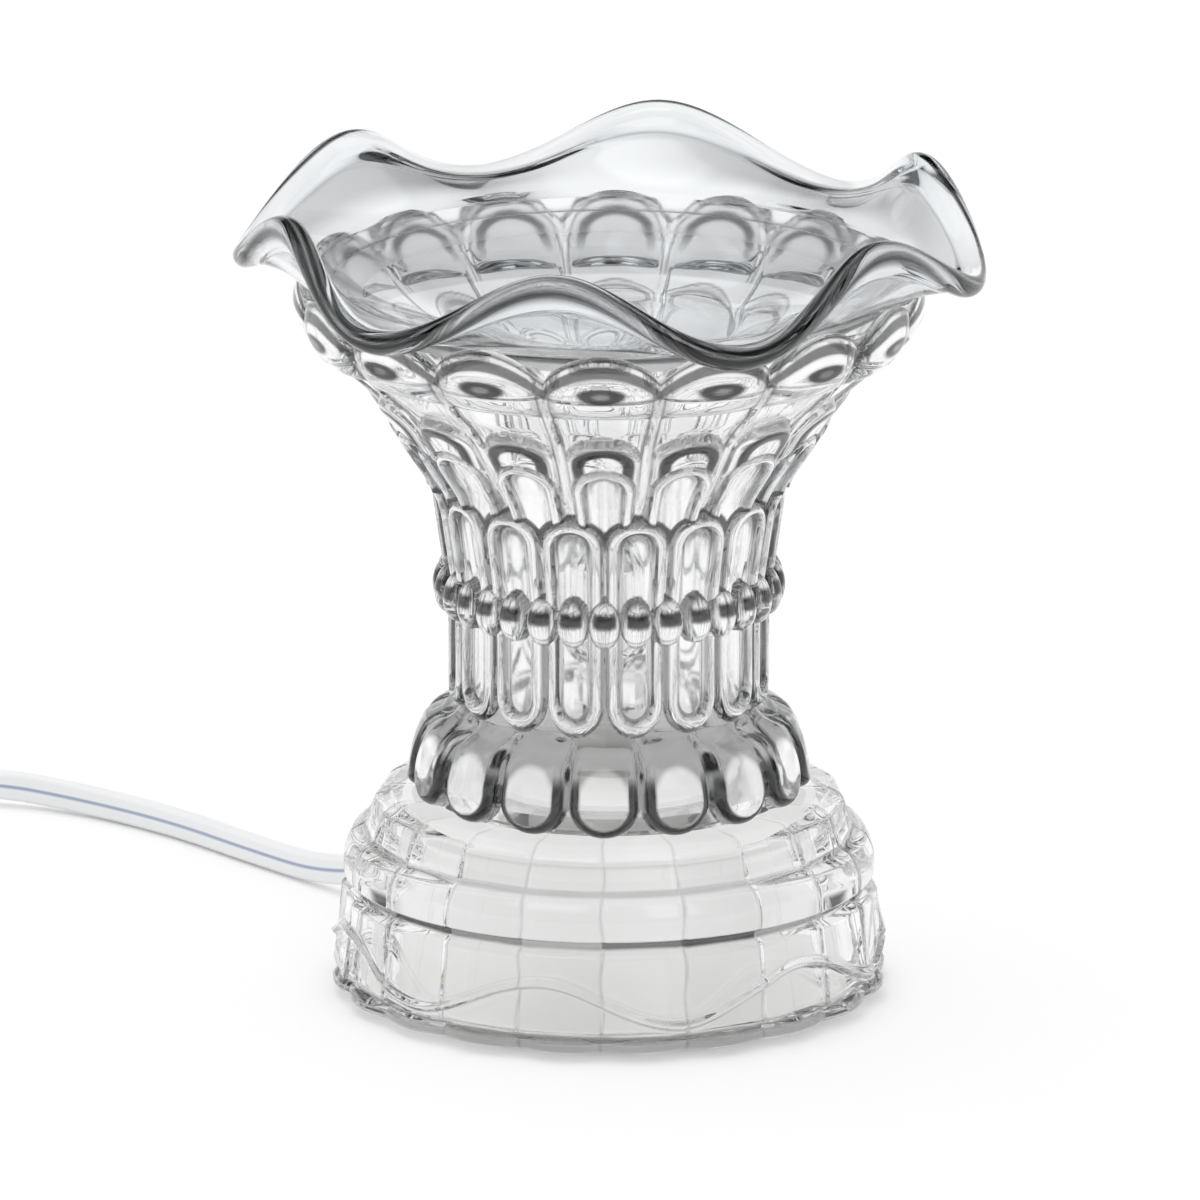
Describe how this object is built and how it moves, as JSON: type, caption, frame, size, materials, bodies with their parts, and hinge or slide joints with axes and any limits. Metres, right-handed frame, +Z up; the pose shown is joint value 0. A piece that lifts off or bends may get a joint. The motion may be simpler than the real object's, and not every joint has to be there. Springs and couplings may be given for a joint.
{
  "type": "wax melt warmer",
  "caption": "Clear pressed-glass wax melt warmer: a ruffled wax dish lifts off a petal shade over a plug-in lamp in a stepped faceted base, with a corded in-line switch.",
  "frame": {"origin": "on the table, under the middle of the base", "axes": "+Z up through the base, shade and dish; the front faces -Y and the cord leaves at the back left"},
  "size_m": [0.356, 0.2035, 0.1566],
  "materials": {
    "clear_glass": "polished",
    "white_plastic": "satin",
    "white_cord": "satin",
    "white_ceramic": "glazed",
    "white_plate": "enamel",
    "steel": "brushed",
    "brass": "plain",
    "rubber": "matte"
  },
  "bodies": {
    "base": {"base_shell": "clear_glass", "wiring_liner": "white_plastic", "bottom_cover": "white_plastic", "cover_screws": "steel", "feet": "rubber", "socket_bracket": "steel", "bracket_rivets": "steel", "lamp_socket": "white_ceramic", "socket_screws": "steel", "heat_plate": "white_plate", "strain_relief": "white_plastic", "supply_leads": "white_cord", "wire_splices": "steel", "socket_leads": "white_cord", "cord_lead": "white_cord", "switch_lower": "white_plastic", "switch_upper": "white_plastic", "switch_screws": "steel", "switch_sleeves": "white_plastic", "cord_coil": "white_cord", "coil_tie": "white_plastic", "plug_body": "white_plastic", "plug_blades": "brass"},
    "shade": {"glass_shade": "clear_glass"},
    "dish": {"wax_dish": "clear_glass"},
    "lamp": {"lamp_capsule": "clear_glass", "lamp_filament": "steel", "lamp_pins": "steel"},
    "wheel": {"switch_wheel": "white_plastic"}
  },
  "joints": [
    {"name": "shade_lift", "type": "slide", "parent": "base", "child": "shade", "axis": [0, 0, 1], "range_m": [0, 0.07]},
    {"name": "dish_lift", "type": "slide", "parent": "shade", "child": "dish", "axis": [0, 0, 1], "range_m": [0, 0.04]},
    {"name": "lamp_pull", "type": "slide", "parent": "base", "child": "lamp", "axis": [0, 0, 1], "range_m": [0, 0.012]},
    {"name": "wheel_turn", "type": "hinge", "parent": "base", "child": "wheel", "pos_m": [-0.177, 0.1175, 0.009], "axis": [0, 0, 1], "range_deg": [0, 270]}
  ]
}
